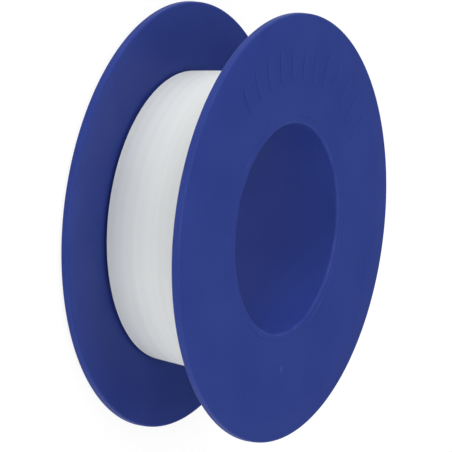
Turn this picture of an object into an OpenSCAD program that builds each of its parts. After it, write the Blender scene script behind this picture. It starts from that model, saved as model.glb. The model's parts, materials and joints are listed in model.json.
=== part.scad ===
// Roll of thread seal tape: a plastic spool of two snapped halves, wound with white PTFE tape.
// Millimetres. The roll lies on its rear flange, with the spool's axis along +Z.
// The origin is the middle of the bore at the rear flange's outer face.

/* [Tape] */
// Width of the tape
tape_w = 12; // [9:0.5:25]
// Thickness of the tape
tape_t = 0.1; // [0.07:0.01:0.2]
// How far the turns wander sideways in the winding
wander = 0.8; // [0.2:0.1:2]
// Build of the inner turns on the hub, at the winding's rear edge
build_rear = 2.55; // [1:0.05:5]
// Build of the inner turns on the hub, at the winding's front edge
build_front = 3.5; // [1:0.05:5]
// Rise of the winding's crown over the straight line between its edges
crown = 0.12; // [0:0.02:0.4]
// Rounding of the inner turns' outer edges
pack_edge_r = 0.35; // [0.1:0.05:0.6]
// Gap along the roll between the start of the last turn and the tape's cut end
end_gap = 1.2; // [0.6:0.1:4]
// Distance of the last turn from the winding's rear edge
wrap_inset = 0.05; // [0:0.05:0.2]

/* [Flanges] */
// Diameter of both flanges
flange_d = 50; // [46:0.5:70]
// Thickness of a flange inside its bevelled border
flange_t = 1.2; // [0.9:0.05:2]
// Width of the bevelled border on a flange's outer face
border_w = 2.6; // [1:0.1:4]
// Drop of the bevelled border at the rim
border_drop = 0.2; // [0.05:0.05:0.4]
// Rounding of the rim's edges
rim_r = 0.25; // [0.1:0.05:0.4]
// Side gap between the winding and each flange
side_gap = 0.3; // [0.2:0.05:1]

/* [Hub] */
// Diameter of the bore
bore_d = 24.5; // [18:0.5:26]
// Wall of the rear half's inner sleeve
inner_wall = 0.95; // [0.6:0.05:1.2]
// Wall of the front half's outer sleeve
outer_wall = 0.95; // [0.6:0.05:1.2]
// Radial running clearance between the two sleeves
sleeve_clearance = 0.05; // [0.02:0.01:0.1]
// Radial running clearance between the outer sleeve and the winding
pack_clearance = 0.05; // [0.02:0.01:0.1]
// Gap between the outer sleeve's foot and the rear flange
foot_gap = 0.15; // [0.1:0.05:0.5]
// Lead-in chamfer inside the outer sleeve's foot
lead_in = 0.25; // [0.1:0.05:0.5]
// Rounding of the bore's two mouths
mouth_r = 0.3; // [0.1:0.05:0.5]
// Rounding on both sides of the seam where the inner sleeve ends in the front face
seam_r = 0.2; // [0.1:0.05:0.3]

/* [Snap ring] */
// Distance from the front face to the middle of the snap ring
snap_inset = 2.4; // [1.6:0.1:4]
// Height of the snap ring on the inner sleeve
snap_h = 0.2; // [0.1:0.05:0.3]
// Width of the snap ring at its root
snap_root_w = 1.2; // [0.9:0.1:2]
// Width of the snap ring at its top
snap_top_w = 0.4; // [0.2:0.1:0.8]
// Play of the snap ring along the axis, each way
snap_play = 0.1; // [0.05:0.05:0.3]

/* [Hidden] */

plastic_colour = "#2E3C86";
tape_colour = "#E3E5EA";

// Steps of a rounded edge, and facets of a turned shape where it is drawn as a mesh
round_steps = 5;
turn_facets = 128;

// Places along the axis
pack_w = tape_w + wander;
flange_gap = pack_w + 2 * side_gap;
overall_h = flange_gap + 2 * flange_t;
front_inner_z = overall_h - flange_t;
foot_z = flange_t + foot_gap;
snap_z = overall_h - snap_inset;
pack_z = flange_t + side_gap;
pack_end_z = pack_z + pack_w;
wrap_z = pack_z + wrap_inset;

// Radii from the bore outwards
bore_r = bore_d / 2;
sleeve_r = bore_r + inner_wall;
socket_r = sleeve_r + sleeve_clearance;
hub_r = socket_r + outer_wall;
pack_bore_r = hub_r + pack_clearance;
flange_r = flange_d / 2;

// Roundings, each limited by the wall that it sits on
edge_limit_share = 0.4;
rim_round = min(rim_r, (flange_t - border_drop) * edge_limit_share);
mouth_round = min(mouth_r, inner_wall * edge_limit_share);
seam_round = min(seam_r, inner_wall * edge_limit_share, outer_wall * edge_limit_share);
pack_round = min(pack_edge_r, build_rear * edge_limit_share, build_front * edge_limit_share);

// The last turn: its start and cut end face +Y, and its strips run across the tape
wrap_steps = 72;
wrap_strips = 4;
wrap_seam_angle = 90;
wrap_clearance = 0.02;

// Points of an arc about (r, z), from one angle to another
function arc_points(r, z, radius, from, to) =
    [for (i = [0 : round_steps])
        let (a = from + (to - from) * i / round_steps)
        [r + radius * cos(a), z + radius * sin(a)]];

function reversed(points) = [for (i = [len(points) - 1 : -1 : 0]) points[i]];

// Outline of a flange from its outer face round the rim to its inner face, by depth from the outer face
function rim_outline() = concat(
    [[flange_r - border_w, 0]],
    arc_points(flange_r - rim_round, border_drop + rim_round, rim_round, -90, 0),
    arc_points(flange_r - rim_round, flange_t - rim_round, rim_round, 0, 90));

// Outline of the snap ring on a wall of the given radius, or of its groove with play along the axis
function snap_outline(r, play) = [
    [r, snap_z - snap_root_w / 2 - play],
    [r + snap_h, snap_z - snap_top_w / 2 - play],
    [r + snap_h, snap_z + snap_top_w / 2 + play],
    [r, snap_z + snap_root_w / 2 + play]];

// Radius of the inner turns at a height: a taper from edge to edge with a low crown
function pack_r(z) =
    let (across = (z - pack_z) / pack_w)
    pack_bore_r + build_rear + (build_front - build_rear) * across + 4 * crown * across * (1 - across);

// Crown of the winding between its rounded edges, as points
pack_crown = [for (i = [0 : wrap_strips])
    let (z = pack_z + pack_round + (pack_w - 2 * pack_round) * i / wrap_strips)
    [pack_r(z), z]];

// The last turn climbs by one thickness of tape on its way round, and stops short of its own start
wrap_mean_r = pack_r(wrap_z + tape_w / 2) + tape_t;
wrap_sweep = 360 - end_gap / wrap_mean_r * 180 / PI;
wrap_step_angle = wrap_sweep / wrap_steps;

// One cross-section of the last turn: its inner side from rear to front, then its outer side back
function wrap_ring(step) =
    let (
        a = wrap_seam_angle + step * wrap_step_angle,
        lift = wrap_clearance + tape_t * step / wrap_steps,
        flat = 1 / cos(wrap_step_angle / 2),
        heights = [for (k = [0 : wrap_strips]) wrap_z + tape_w * k / wrap_strips],
        inner = [for (z = heights) [(pack_r(z) + lift) * flat, z]],
        outer = [for (z = reversed(heights)) [(pack_r(z) + lift + tape_t) * flat, z]])
    [for (p = concat(inner, outer)) [p[0] * cos(a), p[0] * sin(a), p[1]]];

wrap_rings = [for (step = [0 : wrap_steps]) wrap_ring(step)];
wrap_sides = 2 * (wrap_strips + 1);
wrap_points = [for (ring = wrap_rings) each ring];

// Corner of a ring, counted round its section
function wrap_corner(step, side) = step * wrap_sides + side % wrap_sides;

// Triangles along the tape, and those that close its two cut ends
wrap_walls = [for (step = [0 : wrap_steps - 1], side = [0 : wrap_sides - 1])
    each [
        [wrap_corner(step, side), wrap_corner(step + 1, side), wrap_corner(step + 1, side + 1)],
        [wrap_corner(step, side), wrap_corner(step + 1, side + 1), wrap_corner(step, side + 1)]]];
wrap_start_cap = [for (k = [0 : wrap_strips - 1])
    each [
        [k, k + 1, wrap_sides - 2 - k],
        [k, wrap_sides - 2 - k, wrap_sides - 1 - k]]];
wrap_end_cap = [for (face = wrap_start_cap)
    [for (corner = reversed(face)) corner + wrap_steps * wrap_sides]];

// Least gap of the last turn to itself, between points over half a turn apart along the tape
wrap_half = wrap_steps / 2;
wrap_self_gap = min([for (a = [0 : wrap_half], b = [a + wrap_half : wrap_steps])
    each [for (p = wrap_rings[a], q = wrap_rings[b]) norm(p - q)]]);
echo(least_gap_of_last_turn = wrap_self_gap);

// Rear half: the flange that the roll lies on, and the inner sleeve that runs through to the front face
module rear_spool_half() {
    color(plastic_colour)
    rotate_extrude($fn = turn_facets)
    polygon(concat(
        arc_points(bore_r + mouth_round, mouth_round, mouth_round, 180, 270),
        rim_outline(),
        [[sleeve_r, flange_t]],
        snap_outline(sleeve_r, 0),
        arc_points(sleeve_r - seam_round, overall_h - seam_round, seam_round, 0, 90),
        arc_points(bore_r + mouth_round, overall_h - mouth_round, mouth_round, 90, 180)));
}

// Front half: the front flange, and the outer sleeve that slides over the inner one and carries the tape
module front_spool_half() {
    color(plastic_colour)
    rotate_extrude($fn = turn_facets)
    polygon(concat(
        [[socket_r, foot_z + lead_in], [socket_r + lead_in, foot_z], [hub_r, foot_z]],
        [[hub_r, front_inner_z]],
        [for (p = reversed(rim_outline())) [p[0], overall_h - p[1]]],
        arc_points(socket_r + seam_round, overall_h - seam_round, seam_round, 90, 180),
        reversed(snap_outline(socket_r, snap_play))));
}

// Tape: all its inner turns, as one plain wound core
module tape_pack() {
    color(tape_colour)
    rotate_extrude($fn = turn_facets)
    polygon(concat(
        [[pack_bore_r, pack_z]],
        arc_points(pack_crown[0][0] - pack_round, pack_z + pack_round, pack_round, -90, 0),
        pack_crown,
        arc_points(pack_crown[wrap_strips][0] - pack_round, pack_end_z - pack_round, pack_round, 0, 90),
        [[pack_bore_r, pack_end_z]]));
}

// Tape: its last turn, one strip wound over the inner turns to its cut end
module tape_outer_wrap() {
    color(tape_colour)
    polyhedron(points = wrap_points, faces = concat(wrap_walls, wrap_start_cap, wrap_end_cap));
}

rear_spool_half();
front_spool_half();
tape_pack();
tape_outer_wrap();
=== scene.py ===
import json
import math
import random

import bmesh
import bpy
from mathutils import Matrix, Vector


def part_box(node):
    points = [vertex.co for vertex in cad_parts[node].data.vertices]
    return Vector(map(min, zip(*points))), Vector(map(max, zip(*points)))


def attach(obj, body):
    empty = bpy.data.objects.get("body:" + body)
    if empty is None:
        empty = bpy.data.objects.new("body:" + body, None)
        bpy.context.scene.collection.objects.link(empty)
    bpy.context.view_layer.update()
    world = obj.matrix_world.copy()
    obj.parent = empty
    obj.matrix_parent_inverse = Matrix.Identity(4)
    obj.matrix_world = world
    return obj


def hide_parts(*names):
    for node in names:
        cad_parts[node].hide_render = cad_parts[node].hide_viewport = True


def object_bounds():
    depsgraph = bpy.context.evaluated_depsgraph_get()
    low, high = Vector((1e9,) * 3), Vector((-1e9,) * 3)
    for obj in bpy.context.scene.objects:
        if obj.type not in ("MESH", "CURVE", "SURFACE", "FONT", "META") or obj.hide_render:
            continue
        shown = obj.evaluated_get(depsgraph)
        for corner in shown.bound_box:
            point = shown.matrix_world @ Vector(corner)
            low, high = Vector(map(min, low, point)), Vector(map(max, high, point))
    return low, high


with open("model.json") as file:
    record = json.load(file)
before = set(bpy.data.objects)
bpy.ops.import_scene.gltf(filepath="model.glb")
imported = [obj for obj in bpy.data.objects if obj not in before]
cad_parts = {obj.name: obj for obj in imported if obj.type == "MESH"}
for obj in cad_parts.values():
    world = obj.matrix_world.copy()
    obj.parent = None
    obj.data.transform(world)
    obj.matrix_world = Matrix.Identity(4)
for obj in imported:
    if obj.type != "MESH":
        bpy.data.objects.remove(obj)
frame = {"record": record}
cad_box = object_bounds()


# Camera
# A long lens some two thirds of a metre away, on the roll's -Y side and above its front flange.
# It lies on its side, so that the roll looks as if it stood on its rims with its axis nearly level.
mm = 0.001
view_elevation = math.radians(28.55)
axis_droop = math.radians(7.24)
view_distance = 669.0 * mm
aim_right = -0.24 * mm
aim_up = -0.56 * mm
focal_length = 458.1

away = Vector((0, -math.cos(view_elevation), math.sin(view_elevation)))
axis_across = Vector((0, math.sin(view_elevation), math.cos(view_elevation)))
rim_up = Vector((-1, 0, 0))
right = axis_across * math.cos(axis_droop) + rim_up * math.sin(axis_droop)
up = rim_up * math.cos(axis_droop) - axis_across * math.sin(axis_droop)
middle = (cad_box[0] + cad_box[1]) / 2

camera = bpy.data.objects.new("Camera", bpy.data.cameras.new("Camera"))
camera.data.lens = focal_length
camera.matrix_world = Matrix.Translation(
    middle + away * view_distance + right * aim_right + up * aim_up
) @ Matrix((right, up, away)).transposed().to_4x4()
bpy.context.scene.collection.objects.link(camera)
bpy.context.scene.camera = camera


# Rear half of the spool
# The flange that the roll lies on, and the inner sleeve that runs through to the front face.
# One moulding in deep blue polypropylene, with a snap ring near the sleeve's front end.
flange_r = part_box("rear_spool_half")[1].x
overall_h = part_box("rear_spool_half")[1].z
bore_r = next(m["dims"]["r_mm"] for m in frame["record"]["mounts"] if m["name"] == "bore") * mm
flange_t = 1.2 * mm
border_w = 2.6 * mm
border_drop = 0.2 * mm
border_blend = 9.0 * mm
rim_round = 0.25 * mm
mouth_round = 0.3 * mm
seam_round = 0.06 * mm
root_round = 0.08 * mm
inner_wall = 0.95 * mm
sleeve_r = bore_r + inner_wall
snap_inset = 2.4 * mm
snap_z = overall_h - snap_inset
snap_h = 0.2 * mm
snap_root = 1.2 * mm
snap_top = 0.4 * mm
snap_round = 0.05 * mm
# The bore's mouth and the seam at the front face get the paler edge colour as a painted highlight where
# light catches their small roundings. The rim's paler edge is rubbing.
mouth_painted_highlight = 0.7
seam_painted_highlight = 1.0
rim_wear = 0.1


def rounded(corners, arc_steps=8, hold=0.04 * mm):
    """Points (radius, height, wear and painted highlight) of an outline from its corners (radius, height,
    rounding, wear and painted highlight).
    """
    points = []
    for i, (r, z, rounding, wear_and_highlight) in enumerate(corners):
        here = Vector((r, z))
        if not rounding:
            points.append((r, z, wear_and_highlight))
            continue
        before = (Vector(corners[i - 1][:2]) - here).normalized()
        after = (Vector(corners[(i + 1) % len(corners)][:2]) - here).normalized()
        bend = before.angle(after)
        reach = rounding / math.tan(bend / 2)
        centre = here + (before + after).normalized() * rounding / math.sin(bend / 2)
        spoke = here + before * reach - centre
        sweep = -spoke.angle_signed(here + after * reach - centre)
        points.append((*(here + before * (reach + hold)), 0.0))
        for step in range(arc_steps + 1):
            points.append((*(centre + Matrix.Rotation(sweep * step / arc_steps, 2) @ spoke), wear_and_highlight))
        points.append((*(here + after * (reach + hold)), 0.0))
    return points


def turned(name, outline, steps=288, sharp_angle=math.radians(35)):
    """A closed ring turned about the Z axis from an outline, with the wear and painted highlight of its
    edges as an attribute.
    """
    count = len(outline)
    vertices = []
    faces = []
    for step in range(steps):
        angle = 2 * math.pi * step / steps
        row, next_row = step * count, (step + 1) % steps * count
        for i, (r, z, _) in enumerate(outline):
            j = (i + 1) % count
            vertices.append((r * math.cos(angle), r * math.sin(angle), z))
            faces.append((row + i, next_row + i, next_row + j, row + j))
    mesh = bpy.data.meshes.new(name)
    mesh.from_pydata(vertices, [], faces)
    wear_and_highlight = mesh.attributes.new("wear_and_highlight", "FLOAT", "POINT")
    wear_and_highlight.data.foreach_set("value", [w for _, _, w in outline] * steps)
    shell = bmesh.new()
    shell.from_mesh(mesh)
    bmesh.ops.recalc_face_normals(shell, faces=shell.faces)
    shell.to_mesh(mesh)
    shell.free()
    mesh.shade_smooth()
    mesh.set_sharp_from_angle(angle=sharp_angle)
    piece = bpy.data.objects.new(name, mesh)
    bpy.context.scene.collection.objects.link(piece)
    return piece


def linear(colour):
    """An sRGB hex colour as linear red, green, blue and alpha."""
    parts = [int(colour[i : i + 2], 16) / 255 for i in (1, 3, 5)]
    return (*[p / 12.92 if p <= 0.04045 else ((p + 0.055) / 1.055) ** 2.4 for p in parts], 1.0)


def add_node(tree, kind, inputs=None, **settings):
    """Adds a node with its settings, and with values or links on its inputs, and gives the node back."""
    node = tree.nodes.new(kind)
    for setting, value in settings.items():
        setattr(node, setting, value)
    for key, value in (inputs or {}).items():
        socket = node.inputs[key]
        if isinstance(value, bpy.types.Node):
            value = next(s for s in value.outputs if s.enabled)
        if isinstance(value, bpy.types.NodeSocket):
            tree.links.new(value, socket)
        else:
            socket.default_value = value
    return node


def moulded_polypropylene():
    """Pigmented polypropylene from a fine-grained mould: a deep even blue with a soft satin gloss.
    The eye sees faint clouding of the pigment, a slight grain, and paler edges: rubbed on the rims and the
    gate mark, with a painted highlight at the bore's mouth and its seam."""
    deep_blue = "#283982"
    clouded_blue = "#2D3E87"
    # Paler blue of rubbed edges, also used as a painted highlight at the bore's mouth and seam.
    worn_and_highlit_blue = "#3C4F99"
    cloud = 7.0 * mm
    cloud_detail = 3.0
    cloud_least, cloud_most = 0.3, 0.7
    rub_patch = 2.2 * mm
    rub_detail = 4.0
    rub_least, rub_most = 0.35, 0.65
    rub_strength = 0.6
    satin_patch = 5.0 * mm
    satin_detail = 3.0
    satin_least, satin_most = 0.3, 0.7
    smooth_roughness, dull_roughness = 0.5, 0.57
    scuff_length = 7.0 * mm
    scuff_width = 0.18 * mm
    scuff_turns = (0.6, 2.3)
    scuff_detail = 1.0
    scuff_least, scuff_most = 0.7, 0.8
    scuff_dulling = 0.1
    grain = 0.3 * mm  # the mould's real grain is near 0.05 mm, too fine to show
    grain_detail = 2.0
    grain_depth = 0.012 * mm
    grain_strength = 0.35
    plastic_ior = 1.49
    plastic_gloss = 0.15

    material = bpy.data.materials.new("Moulded polypropylene")
    material.use_nodes = True
    tree = material.node_tree
    tree.nodes.clear()
    place = add_node(tree, "ShaderNodeTexCoord").outputs["Object"]

    clouds = add_node(
        tree,
        "ShaderNodeTexNoise",
        {"Vector": place, "Scale": 1 / cloud, "Detail": cloud_detail},
    )
    cloudiness = add_node(
        tree,
        "ShaderNodeMapRange",
        {"Value": clouds, "From Min": cloud_least, "From Max": cloud_most},
    )
    pigment = add_node(
        tree,
        "ShaderNodeMix",
        {0: cloudiness, 6: linear(deep_blue), 7: linear(clouded_blue)},
        data_type="RGBA",
    )

    # How much paler each edge is: rubbing, and at the bore's mouth and seam a painted highlight.
    edges = add_node(tree, "ShaderNodeAttribute", attribute_name="wear_and_highlight").outputs["Fac"]
    patches = add_node(
        tree,
        "ShaderNodeTexNoise",
        {"Vector": place, "Scale": 1 / rub_patch, "Detail": rub_detail},
    )
    patchiness = add_node(
        tree,
        "ShaderNodeMapRange",
        {"Value": patches, "From Min": rub_least, "From Max": rub_most, "To Max": rub_strength},
    )
    # Edge paleness in patches: rubbing, and at the bore's mouth and seam a painted highlight.
    rubbing_and_highlight = add_node(tree, "ShaderNodeMath", {0: edges, 1: patchiness}, operation="MULTIPLY")
    colour = add_node(
        tree,
        "ShaderNodeMix",
        {0: rubbing_and_highlight, 6: pigment, 7: linear(worn_and_highlit_blue)},
        data_type="RGBA",
    )

    satins = add_node(
        tree,
        "ShaderNodeTexNoise",
        {"Vector": place, "Scale": 1 / satin_patch, "Detail": satin_detail},
    )
    satin = add_node(
        tree,
        "ShaderNodeMapRange",
        {
            "Value": satins,
            "From Min": satin_least,
            "From Max": satin_most,
            "To Min": smooth_roughness,
            "To Max": dull_roughness,
        },
    )
    scuffs = []
    for turn in scuff_turns:
        scuff_place = add_node(
            tree,
            "ShaderNodeMapping",
            {
                "Vector": place,
                "Rotation": (0.0, 0.0, turn),
                "Scale": (1 / scuff_length, 1 / scuff_width, 1 / scuff_length),
            },
        )
        scuff = add_node(
            tree,
            "ShaderNodeTexNoise",
            {"Vector": scuff_place, "Scale": 1.0, "Detail": scuff_detail},
        )
        scuffs.append(scuff)
    deepest = add_node(tree, "ShaderNodeMath", {0: scuffs[0], 1: scuffs[1]}, operation="MAXIMUM")
    dulled = add_node(
        tree,
        "ShaderNodeMapRange",
        {"Value": deepest, "From Min": scuff_least, "From Max": scuff_most, "To Max": scuff_dulling},
    )
    roughness = add_node(tree, "ShaderNodeMath", {0: satin, 1: dulled}, operation="ADD")

    grains = add_node(
        tree,
        "ShaderNodeTexNoise",
        {"Vector": place, "Scale": 1 / grain, "Detail": grain_detail},
    )
    relief = add_node(
        tree,
        "ShaderNodeBump",
        {"Height": grains, "Strength": grain_strength, "Distance": grain_depth},
    )

    plastic = add_node(
        tree,
        "ShaderNodeBsdfPrincipled",
        {
            "Base Color": colour,
            "Roughness": roughness,
            "IOR": plastic_ior,
            "Specular IOR Level": plastic_gloss,
            "Normal": relief,
        },
    )
    add_node(tree, "ShaderNodeOutputMaterial", {"Surface": plastic})
    return material


polypropylene = moulded_polypropylene()
rear_half = turned(
    "rear_spool_half_moulding",
    rounded(
        [
            (bore_r, 0.0, mouth_round, mouth_painted_highlight),
            (flange_r - border_w, 0.0, border_blend, 0.0),
            (flange_r, border_drop, rim_round, rim_wear),
            (flange_r, flange_t, rim_round, rim_wear),
            (sleeve_r, flange_t, root_round, 0.0),
            (sleeve_r, snap_z - snap_root / 2, snap_round, 0.0),
            (sleeve_r + snap_h, snap_z - snap_top / 2, snap_round, 0.0),
            (sleeve_r + snap_h, snap_z + snap_top / 2, snap_round, 0.0),
            (sleeve_r, snap_z + snap_root / 2, snap_round, 0.0),
            (sleeve_r, overall_h, seam_round, seam_painted_highlight),
            (bore_r, overall_h, mouth_round, mouth_painted_highlight),
        ]
    ),
)
rear_half.data.materials.append(polypropylene)
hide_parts("rear_spool_half")
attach(rear_half, "rear_half")


# Front half of the spool
# The front flange, and the outer sleeve that slides over the inner one and carries the tape.
# A second moulding in the same plastic, held by a groove that snaps over the ring.
sleeve_clearance = 0.05 * mm
outer_wall = 0.95 * mm
lead_in = 0.25 * mm
foot_round = 0.08 * mm
snap_play = 0.1 * mm
lip_gap = 0.02 * mm
lip_depth = 0.4 * mm
foot_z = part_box("front_spool_half")[0].z
front_inner_z = overall_h - flange_t
socket_r = sleeve_r + sleeve_clearance
hub_r = socket_r + outer_wall

front_half = turned(
    "front_spool_half_moulding",
    rounded(
        [
            (socket_r + lead_in, foot_z, foot_round, 0.0),
            (hub_r, foot_z, foot_round, 0.0),
            (hub_r, front_inner_z, root_round, 0.0),
            (flange_r, front_inner_z, rim_round, rim_wear),
            (flange_r, overall_h - border_drop, rim_round, rim_wear),
            (flange_r - border_w, overall_h, border_blend, 0.0),
            (sleeve_r + lip_gap, overall_h, seam_round, seam_painted_highlight),
            (sleeve_r + lip_gap, overall_h - lip_depth, 0.0, 0.0),
            (socket_r, overall_h - lip_depth - sleeve_clearance, 0.0, 0.0),
            (socket_r, snap_z + snap_root / 2 + snap_play, snap_round, 0.0),
            (socket_r + snap_h, snap_z + snap_top / 2 + snap_play, snap_round, 0.0),
            (socket_r + snap_h, snap_z - snap_top / 2 - snap_play, snap_round, 0.0),
            (socket_r, snap_z - snap_root / 2 - snap_play, snap_round, 0.0),
            (socket_r, foot_z + lead_in, foot_round, 0.0),
        ]
    ),
)
front_half.data.materials.append(polypropylene)
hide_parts("front_spool_half")
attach(front_half, "front_half")


# Gate mark
# The small round stub where the plastic entered the mould, on the front flange opposite the grip ridges.
# Part of the front moulding: a low cone with a pinhole, trimmed nearly flush with the face and rubbed pale.
gate_place = Vector((16.3, 2.7, 0.0)) * mm
gate_r = 0.4 * mm
gate_pinhole_r = 0.04 * mm
gate_h = 0.1 * mm
gate_edge_h = 0.04 * mm
gate_sink = 0.03 * mm
gate_wear = 1.0
gate_facets = 32

gate = turned(
    "gate_mark",
    [
        (gate_pinhole_r, overall_h - gate_sink, gate_wear),
        (gate_r, overall_h - gate_sink, gate_wear),
        (gate_r, overall_h + gate_edge_h, gate_wear),
        (gate_pinhole_r, overall_h + gate_h, gate_wear),
    ],
    gate_facets,
)
gate.data.transform(Matrix.Translation(gate_place))
gate.data.materials.append(polypropylene)
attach(gate, "front_half")


# Grip ridges
# A short row of low ribs on the front flange, moulded with it, for a thumb to turn the spool by.
# Each rib is a flat rounded bar that points at the axis and stands a tenth of a millimetre proud.
ridge_count = 12
ridge_r = 19.3 * mm
ridge_middle_angle = math.radians(178)
ridge_sweep = math.radians(92)
ridge_length = 4.0 * mm
ridge_width = 0.95 * mm
ridge_h = 0.1 * mm
ridge_sink = 0.03 * mm
ridge_segments = 32
ridge_rings = 16
ridge_boxiness = 4.0
ridge_arc_steps = 96


def size_inputs(tree, names, kind="NodeSocketFloat"):
    """Adds named inputs of one kind to a Geometry Nodes tree."""
    for name in names:
        tree.interface.new_socket(name, in_out="INPUT", socket_type=kind)


def grown(name, tree, sizes):
    """A plain mesh piece grown by a Geometry Nodes tree from the given sizes."""
    piece = bpy.data.objects.new(name, bpy.data.meshes.new(name))
    bpy.context.scene.collection.objects.link(piece)
    modifier = piece.modifiers.new(name, "NODES")
    modifier.node_group = tree
    for item in tree.interface.items_tree:
        if item.in_out == "INPUT":
            modifier[item.identifier] = sizes[item.name]
    evaluated = piece.evaluated_get(bpy.context.evaluated_depsgraph_get())
    mesh = bpy.data.meshes.new_from_object(evaluated)
    piece.modifiers.remove(modifier)
    piece.data = mesh
    return piece


def ridge_row():
    """Geometry Nodes that set rounded bars on an arc of the front face."""
    tree = bpy.data.node_groups.new("Grip ridges", "GeometryNodeTree")
    tree.interface.new_socket("Geometry", in_out="OUTPUT", socket_type="NodeSocketGeometry")
    size_inputs(tree, ["Count"], "NodeSocketInt")
    size_inputs(tree, ["Arc Radius", "Start Angle", "Sweep", "Face Height"])
    size_inputs(tree, ["Length", "Width", "Rise", "Sink"])
    size_inputs(tree, ["Plastic"], "NodeSocketMaterial")
    size = add_node(tree, "NodeGroupInput").outputs

    ball = add_node(
        tree,
        "GeometryNodeMeshUVSphere",
        {"Segments": ridge_segments, "Rings": ridge_rings, "Radius": 1.0},
    )
    spot = add_node(tree, "GeometryNodeInputPosition")
    powers = add_node(
        tree,
        "ShaderNodeVectorMath",
        {
            0: add_node(tree, "ShaderNodeVectorMath", {0: spot}, operation="ABSOLUTE"),
            1: (ridge_boxiness, ridge_boxiness, ridge_boxiness),
        },
        operation="POWER",
    )
    total = add_node(
        tree,
        "ShaderNodeVectorMath",
        {0: powers, 1: (1.0, 1.0, 1.0)},
        operation="DOT_PRODUCT",
    )
    swell = add_node(
        tree,
        "ShaderNodeMath",
        {0: total.outputs["Value"], 1: -1 / ridge_boxiness},
        operation="POWER",
    )
    boxy = add_node(tree, "ShaderNodeVectorMath", {0: spot, "Scale": swell}, operation="SCALE")
    half_length = add_node(tree, "ShaderNodeMath", {0: size["Length"], 1: 0.5}, operation="MULTIPLY")
    half_width = add_node(tree, "ShaderNodeMath", {0: size["Width"], 1: 0.5}, operation="MULTIPLY")
    half_sizes = add_node(tree, "ShaderNodeCombineXYZ", {0: half_length, 1: half_width, 2: size["Rise"]})
    bar = add_node(tree, "ShaderNodeVectorMath", {0: boxy, 1: half_sizes}, operation="MULTIPLY")
    sunk = add_node(tree, "ShaderNodeMath", {0: size["Sink"], 1: -1.0}, operation="MULTIPLY")
    floor_corner = add_node(tree, "ShaderNodeCombineXYZ", {0: -1.0, 1: -1.0, 2: sunk})
    flat_bar = add_node(tree, "ShaderNodeVectorMath", {0: bar, 1: floor_corner}, operation="MAXIMUM")
    ridge = add_node(tree, "GeometryNodeSetPosition", {"Geometry": ball, "Position": flat_bar})

    arc = add_node(
        tree,
        "GeometryNodeCurveArc",
        {
            "Resolution": ridge_arc_steps,
            "Radius": size["Arc Radius"],
            "Start Angle": size["Start Angle"],
            "Sweep Angle": size["Sweep"],
        },
    )
    stations = add_node(tree, "GeometryNodeCurveToPoints", {"Curve": arc, "Count": size["Count"]})
    outwards = add_node(
        tree,
        "FunctionNodeAlignRotationToVector",
        {"Vector": add_node(tree, "GeometryNodeInputPosition")},
        axis="X",
        pivot_axis="Z",
    )
    row = add_node(
        tree,
        "GeometryNodeInstanceOnPoints",
        {"Points": stations, "Instance": ridge, "Rotation": outwards},
    )
    face_place = add_node(tree, "ShaderNodeCombineXYZ", {2: size["Face Height"]})
    placed = add_node(tree, "GeometryNodeTransform", {"Geometry": row, "Translation": face_place})
    smooth = add_node(tree, "GeometryNodeSetShadeSmooth", {"Geometry": placed})
    real = add_node(tree, "GeometryNodeRealizeInstances", {"Geometry": smooth})
    dressed = add_node(tree, "GeometryNodeSetMaterial", {"Geometry": real, "Material": size["Plastic"]})
    add_node(tree, "NodeGroupOutput", {"Geometry": dressed})
    return tree


ridges = grown(
    "grip_ridges",
    ridge_row(),
    {
        "Count": ridge_count,
        "Arc Radius": ridge_r,
        "Start Angle": ridge_middle_angle - ridge_sweep / 2,
        "Sweep": ridge_sweep,
        "Length": ridge_length,
        "Width": ridge_width,
        "Rise": ridge_h,
        "Sink": ridge_sink,
        "Face Height": overall_h,
        "Plastic": polypropylene,
    },
)
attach(ridges, "front_half")


# Inner turns of the tape
# Thin white PTFE tape wound on the hub, one turn over the other, each a little to one side of the last.
# The deep turns are one ring with stepped sides, and the last few over them are a wound strip.
tape_w = 12.0 * mm
tape_t = 0.1 * mm
film_t = 0.09 * mm
pack_low, pack_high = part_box("tape_pack")
pack_middle = (pack_low.z + pack_high.z) / 2
pack_w = pack_high.z - pack_low.z
strip_middle = (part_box("tape_outer_wrap")[0].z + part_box("tape_outer_wrap")[1].z) / 2
strip_wander = 0.2 * mm
pack_clearance = 0.05 * mm
winding_r = 17.37 * mm
winding_rise = 0.95 * mm
winding_taper = winding_rise / pack_w
winding_swell = 0.48 * mm
winding_crown = winding_swell / pack_w**2
winding_ease = 0.02 * mm
shown_turns = 5
turn_steps = 180
section_cuts = 7
fold_angle = 0.7
drift_per_turn = 0.9
drift_detail = 1.0
drift_seed = 4.3
deep_layers = 14
layer_seed = 11
layer_aside = 0.45
cut_end_angle = math.radians(90)


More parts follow.
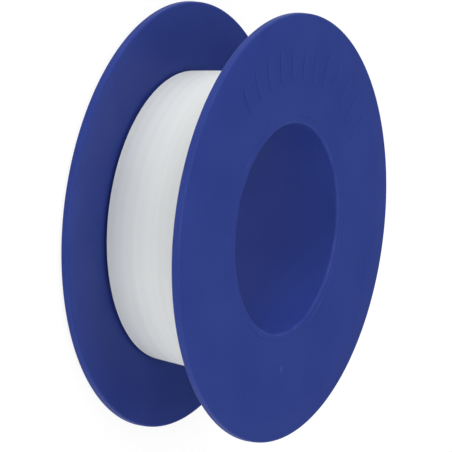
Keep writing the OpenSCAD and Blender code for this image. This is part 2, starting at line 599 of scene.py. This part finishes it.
def ptfe_film():
    """Unsintered PTFE film, rolled thin and stretched: soft, waxy, white and slightly see-through.
    The eye sees faint streaks along the tape from the rolling, fine creases across, and a silky gloss."""
    bright_white = "#F2F4F1"
    streak_white = "#ECEFEA"
    streak_length = 60.0 * mm
    streak_width = 0.8 * mm
    streak_detail = 3.0
    streak_least, streak_most = 0.3, 0.7
    streak_depth = 0.05 * mm
    streak_strength = 0.05
    fibre_length = 25.0 * mm
    fibre_width = 0.22 * mm  # real fibrils are a few micrometres wide, too fine to show
    fibre_detail = 2.0
    fibre_depth = 0.03 * mm
    fibre_strength = 0.12
    silky_roughness, waxy_roughness = 0.4, 0.6
    crease_length = 1.6 * mm
    crease_width = 8.0 * mm
    crease_detail = 2.0
    crease_depth = 0.05 * mm
    crease_strength = 0.12
    film_ior = 1.35
    light_inside = 0.2
    light_reach = 0.4 * mm

    material = bpy.data.materials.new("Stretched PTFE film")
    material.use_nodes = True
    tree = material.node_tree
    tree.nodes.clear()
    along = add_node(tree, "ShaderNodeAttribute", attribute_name="along").outputs["Fac"]
    across = add_node(tree, "ShaderNodeAttribute", attribute_name="across").outputs["Fac"]
    film_place = add_node(tree, "ShaderNodeCombineXYZ", {0: along, 1: across})
    patterns = []
    for length, width, detail in [
        (streak_length, streak_width, streak_detail),
        (fibre_length, fibre_width, fibre_detail),
        (crease_length, crease_width, crease_detail),
    ]:
        stretched = add_node(
            tree, "ShaderNodeMapping", {"Vector": film_place, "Scale": (1 / length, 1 / width, 1.0)}
        )
        patterns.append(
            add_node(tree, "ShaderNodeTexNoise", {"Vector": stretched, "Scale": 1.0, "Detail": detail})
        )
    streaks, fibres, creases = patterns

    streakiness = add_node(
        tree,
        "ShaderNodeMapRange",
        {"Value": streaks, "From Min": streak_least, "From Max": streak_most},
    )
    colour = add_node(
        tree,
        "ShaderNodeMix",
        {0: streakiness, 6: linear(streak_white), 7: linear(bright_white)},
        data_type="RGBA",
    )
    roughness = add_node(
        tree,
        "ShaderNodeMapRange",
        {"Value": fibres, "To Min": silky_roughness, "To Max": waxy_roughness},
    )
    relief = add_node(
        tree,
        "ShaderNodeBump",
        {"Height": fibres, "Strength": fibre_strength, "Distance": fibre_depth},
    )
    relief = add_node(
        tree,
        "ShaderNodeBump",
        {"Height": streaks, "Strength": streak_strength, "Distance": streak_depth, "Normal": relief},
    )
    relief = add_node(
        tree,
        "ShaderNodeBump",
        {"Height": creases, "Strength": crease_strength, "Distance": crease_depth, "Normal": relief},
    )
    film = add_node(
        tree,
        "ShaderNodeBsdfPrincipled",
        {
            "Base Color": colour,
            "Roughness": roughness,
            "IOR": film_ior,
            "Subsurface Weight": light_inside,
            "Subsurface Radius": (1.0, 1.0, 1.0),
            "Subsurface Scale": light_reach,
            "Normal": relief,
        },
    )
    add_node(tree, "ShaderNodeOutputMaterial", {"Surface": film})
    return material


def tape_winding():
    """Geometry Nodes that wind a strip of tape on a spiral, with its wander, crown and lifted end."""
    tree = bpy.data.node_groups.new("Wound tape", "GeometryNodeTree")
    tree.interface.new_socket("Geometry", in_out="OUTPUT", socket_type="NodeSocketGeometry")
    size_inputs(tree, ["Turns", "First Turn", "Start Radius", "End Radius", "Start Angle", "Middle Height"])
    size_inputs(tree, ["Tape Width", "Film Thickness", "Taper", "Crown", "Wander", "Seed"])
    size_inputs(tree, ["End Lift", "Lift Length"])
    size_inputs(tree, ["Film"], "NodeSocketMaterial")
    size = add_node(tree, "NodeGroupInput").outputs

    spiral = add_node(
        tree,
        "GeometryNodeCurveSpiral",
        {
            "Resolution": turn_steps,
            "Rotations": size["Turns"],
            "Start Radius": size["Start Radius"],
            "End Radius": size["End Radius"],
            "Height": 0.0,
            "Reverse": True,
        },
    )
    turn = add_node(tree, "ShaderNodeCombineXYZ", {2: size["Start Angle"]})
    raised = add_node(tree, "ShaderNodeCombineXYZ", {2: size["Middle Height"]})
    path = add_node(
        tree, "GeometryNodeTransform", {"Geometry": spiral, "Translation": raised, "Rotation": turn}
    )
    reached = add_node(tree, "GeometryNodeSplineParameter").outputs
    turns_so_far = add_node(
        tree,
        "ShaderNodeMath",
        {0: reached["Factor"], 1: size["Turns"], 2: size["First Turn"]},
        operation="MULTIPLY_ADD",
    )
    drift_place = add_node(tree, "ShaderNodeMath", {0: turns_so_far, 1: size["Seed"]})
    drift = add_node(
        tree,
        "ShaderNodeTexNoise",
        {"W": drift_place, "Scale": drift_per_turn, "Detail": drift_detail},
        noise_dimensions="1D",
    )
    centred = add_node(tree, "ShaderNodeMath", {0: drift, 1: 0.5}, operation="SUBTRACT")
    sideways = add_node(tree, "ShaderNodeMath", {0: centred, 1: size["Wander"]}, operation="MULTIPLY")
    path = add_node(
        tree,
        "GeometryNodeSetPosition",
        {"Geometry": path, "Offset": add_node(tree, "ShaderNodeCombineXYZ", {2: sideways})},
    )
    path = add_node(
        tree,
        "GeometryNodeStoreNamedAttribute",
        {"Geometry": path, "Name": "along", "Value": reached["Length"]},
        data_type="FLOAT",
        domain="POINT",
    )
    whole = add_node(tree, "GeometryNodeSplineLength").outputs["Length"]
    left_over = add_node(tree, "ShaderNodeMath", {0: whole, 1: reached["Length"]}, operation="SUBTRACT")
    path = add_node(
        tree,
        "GeometryNodeStoreNamedAttribute",
        {"Geometry": path, "Name": "to_end", "Value": left_over},
        data_type="FLOAT",
        domain="POINT",
    )
    path = add_node(tree, "GeometryNodeSetCurveNormal", {"Curve": path}, mode="Z_UP")

    section = add_node(
        tree,
        "GeometryNodeCurvePrimitiveQuadrilateral",
        {"Width": size["Film Thickness"], "Height": size["Tape Width"]},
    )
    section = add_node(tree, "GeometryNodeSubdivideCurve", {"Curve": section, "Cuts": section_cuts})
    corner = add_node(
        tree, "ShaderNodeSeparateXYZ", {0: add_node(tree, "GeometryNodeInputPosition")}
    ).outputs
    across = add_node(tree, "ShaderNodeMath", {0: corner["Y"], 1: -1.0}, operation="MULTIPLY")
    section = add_node(
        tree,
        "GeometryNodeStoreNamedAttribute",
        {"Geometry": section, "Name": "across", "Value": across},
        data_type="FLOAT",
        domain="POINT",
    )
    dip = add_node(tree, "ShaderNodeMath", {0: across, 1: size["Crown"]}, operation="MULTIPLY")
    slope = add_node(tree, "ShaderNodeMath", {0: size["Taper"], 1: dip}, operation="SUBTRACT")
    rise = add_node(tree, "ShaderNodeMath", {0: slope, 1: across}, operation="MULTIPLY")
    section = add_node(
        tree,
        "GeometryNodeSetPosition",
        {"Geometry": section, "Offset": add_node(tree, "ShaderNodeCombineXYZ", {0: rise})},
    )
    strip = add_node(
        tree, "GeometryNodeCurveToMesh", {"Curve": path, "Profile Curve": section, "Fill Caps": True}
    )

    to_end = add_node(tree, "GeometryNodeInputNamedAttribute", {"Name": "to_end"}, data_type="FLOAT")
    near_end = add_node(
        tree,
        "ShaderNodeMapRange",
        {"Value": to_end, "From Min": 0.0, "From Max": size["Lift Length"], "To Min": 1.0, "To Max": 0.0},
    )
    curl = add_node(tree, "ShaderNodeMath", {0: near_end, 1: 2.0}, operation="POWER")
    lift = add_node(tree, "ShaderNodeMath", {0: curl, 1: size["End Lift"]}, operation="MULTIPLY")
    side = add_node(tree, "GeometryNodeInputNamedAttribute", {"Name": "across"}, data_type="FLOAT")
    side_share = add_node(tree, "ShaderNodeMath", {0: side, 1: size["Tape Width"]}, operation="DIVIDE")
    one_corner = add_node(tree, "ShaderNodeMath", {0: side_share, 1: 0.5})
    corner_lift = add_node(tree, "ShaderNodeMath", {0: lift, 1: one_corner}, operation="MULTIPLY")
    spot = add_node(tree, "GeometryNodeInputPosition")
    level = add_node(tree, "ShaderNodeVectorMath", {0: spot, 1: (1.0, 1.0, 0.0)}, operation="MULTIPLY")
    outwards = add_node(tree, "ShaderNodeVectorMath", {0: level}, operation="NORMALIZE")
    offset = add_node(tree, "ShaderNodeVectorMath", {0: outwards, "Scale": corner_lift}, operation="SCALE")
    strip = add_node(tree, "GeometryNodeSetPosition", {"Geometry": strip, "Offset": offset})

    strip = add_node(tree, "GeometryNodeSetShadeSmooth", {"Geometry": strip})
    folded = add_node(
        tree,
        "FunctionNodeCompare",
        {0: add_node(tree, "GeometryNodeInputMeshEdgeAngle"), 1: fold_angle},
        operation="GREATER_THAN",
        data_type="FLOAT",
    )
    strip = add_node(
        tree,
        "GeometryNodeSetShadeSmooth",
        {"Geometry": strip, "Selection": folded, "Shade Smooth": False},
        domain="EDGE",
    )
    real = add_node(tree, "GeometryNodeRealizeInstances", {"Geometry": strip})
    dressed = add_node(tree, "GeometryNodeSetMaterial", {"Geometry": real, "Material": size["Film"]})
    add_node(tree, "NodeGroupOutput", {"Geometry": dressed})
    return tree


film = ptfe_film()
winding = tape_winding()
strip_sizes = {
    "Start Angle": cut_end_angle,
    "Middle Height": strip_middle,
    "Tape Width": tape_w,
    "Film Thickness": film_t,
    "Taper": winding_taper,
    "Crown": winding_crown,
    "Wander": strip_wander,
    "Seed": drift_seed,
    "Film": film,
}
top_r = winding_r + winding_ease + tape_t / 2
shown_r = top_r - shown_turns * tape_t

draw = random.Random(layer_seed)
spare_w = pack_w - tape_w
steps_aside = [draw.uniform(-layer_aside, layer_aside) * spare_w for _ in range(deep_layers)]
ring_r = hub_r + pack_clearance
rear_build = shown_r - tape_t - winding_taper * tape_w / 2 - ring_r
front_build = shown_r - tape_t + winding_taper * tape_w / 2 - ring_r
rear_side = []
front_side = []
for layer, aside in enumerate(steps_aside):
    for share in (layer / deep_layers, (layer + 1) / deep_layers):
        rear_side.append((ring_r + rear_build * share, pack_middle - tape_w / 2 + aside, 0.0))
        front_side.append((ring_r + front_build * share, pack_middle + tape_w / 2 + aside, 0.0))
deep_turns = turned("tape_deep_turns", rear_side + front_side[::-1])
deep_turns.data.materials.append(film)
for name, values in [
    ("along", [math.atan2(v.co.y, v.co.x) * winding_r for v in deep_turns.data.vertices]),
    ("across", [v.co.xy.length for v in deep_turns.data.vertices]),
]:
    deep_turns.data.attributes.new(name, "FLOAT", "POINT").data.foreach_set("value", values)

inner_turns = grown(
    "tape_inner_turns",
    winding,
    {
        **strip_sizes,
        "Turns": float(shown_turns),
        "First Turn": 0.0,
        "Start Radius": shown_r,
        "End Radius": top_r,
        "End Lift": 0.0,
        "Lift Length": 1.0,
    },
)
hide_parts("tape_pack")
for piece in (deep_turns, inner_turns):
    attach(piece, "tape")


# Last turn of the tape
# It carries on from the inner turns, goes once round the winding and lies a little over its own start.
# Only its own cling holds the cut end, which faces +Y and lifts at one corner.
overlap_turns = 0.03
end_lift = 0.4 * mm
lift_length = 6.0 * mm

last_turn = grown(
    "tape_last_turn",
    winding,
    {
        **strip_sizes,
        "Turns": 1.0 + overlap_turns,
        "First Turn": float(shown_turns),
        "Start Radius": top_r,
        "End Radius": top_r + tape_t * (1 + overlap_turns),
        "End Lift": end_lift,
        "Lift Length": lift_length,
    },
)
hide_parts("tape_outer_wrap")
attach(last_turn, "tape")


# Floor and light
# A plain white studio floor, soft round lamps about the roll, and a ceiling that is white at the horizon.
# Only the top lamp shows in reflections, so the plastic stays deep blue from every side. A small lamp in
# the bore stands in for the light that comes through it from behind when the roll is held up.
floor_size = 8.0
floor_white = "#F4F4F4"
floor_drop = 0.02 * mm
glow = 0.86
shadow_share = 0.18
lamp_distance = 0.9
lamp_width = 0.7
bore_lamp_drop = (overall_h + floor_drop) / 2
bore_lamp_width = 2 * bore_r - 0.5 * mm
lamps = [
    ("Left lamp", Vector((-0.9, -0.1, 0.35)), lamp_distance, lamp_width, 4.7, False),
    ("Right lamp", Vector((0.93, -0.2, 0.3)), lamp_distance, lamp_width, 2.8, False),
    ("Front lamp", Vector((-0.05, -0.87, 0.45)), lamp_distance, lamp_width, 3.0, False),
    ("Back lamp", Vector((0.6, 0.75, 0.25)), lamp_distance, lamp_width, 2.0, False),
    ("Top lamp", Vector((-0.05, -0.12, 1.0)), lamp_distance, lamp_width, 2.9, True),
    ("Bore lamp", Vector((0, 0, -1)), bore_lamp_drop, bore_lamp_width, 0.001, False),
]
ceiling_light = 0.2
horizon_light = 1.0
horizon_end = 0.06

floor_mesh = bpy.data.meshes.new("studio_floor")
half = floor_size / 2
floor_mesh.from_pydata(
    [(-half, -half, 0), (half, -half, 0), (half, half, 0), (-half, half, 0)], [], [(0, 1, 2, 3)]
)
floor_mesh.transform(Matrix.Translation((0, 0, -floor_drop)))
floor = bpy.data.objects.new("studio_floor", floor_mesh)
bpy.context.scene.collection.objects.link(floor)

paper = bpy.data.materials.new("White studio paper")
paper.use_nodes = True
tree = paper.node_tree
tree.nodes.clear()
matt = add_node(tree, "ShaderNodeBsdfDiffuse", {"Color": linear(floor_white)})
shine = add_node(tree, "ShaderNodeEmission", {"Strength": glow})
weak = add_node(tree, "ShaderNodeBsdfDiffuse", {"Color": (shadow_share, shadow_share, shadow_share, 1.0)})
lit = add_node(tree, "ShaderNodeAddShader", {0: shine, 1: weak})
rays = add_node(tree, "ShaderNodeLightPath").outputs
seen = rays["Is Camera Ray"]
for ray in ("Is Glossy Ray", "Is Transmission Ray"):
    seen = add_node(tree, "ShaderNodeMath", {0: seen, 1: rays[ray]}, operation="MAXIMUM")
surface = add_node(tree, "ShaderNodeMixShader", {0: seen, 1: matt, 2: lit})
add_node(tree, "ShaderNodeOutputMaterial", {"Surface": surface})
floor_mesh.materials.append(paper)

for name, towards, distance, width, power, mirrored in lamps:
    lamp = bpy.data.objects.new(name, bpy.data.lights.new(name, "AREA"))
    lamp.data.shape = "DISK"
    lamp.data.size = width
    lamp.data.energy = power
    aim = towards.to_track_quat("Z", "Y").to_matrix().to_4x4()
    lamp.matrix_world = Matrix.Translation(middle + towards.normalized() * distance) @ aim
    lamp.visible_camera = False
    lamp.visible_glossy = mirrored
    bpy.context.scene.collection.objects.link(lamp)

world = bpy.data.worlds.new("Studio")
world.use_nodes = True
tree = world.node_tree
tree.nodes.clear()
outwards = add_node(tree, "ShaderNodeTexCoord").outputs["Generated"]
direction = add_node(tree, "ShaderNodeSeparateXYZ", {0: outwards})
brightness = add_node(
    tree,
    "ShaderNodeMapRange",
    {
        "Value": direction.outputs["Z"],
        "From Min": 0.0,
        "From Max": horizon_end,
        "To Min": horizon_light,
        "To Max": ceiling_light,
    },
)
sky = add_node(tree, "ShaderNodeBackground", {"Strength": brightness})
sky.inputs["Color"].default_value = (1.0, 1.0, 1.0, 1.0)
add_node(tree, "ShaderNodeOutputWorld", {"Surface": sky})
bpy.context.scene.world = world
bpy.context.scene.view_settings.view_transform = "Standard"
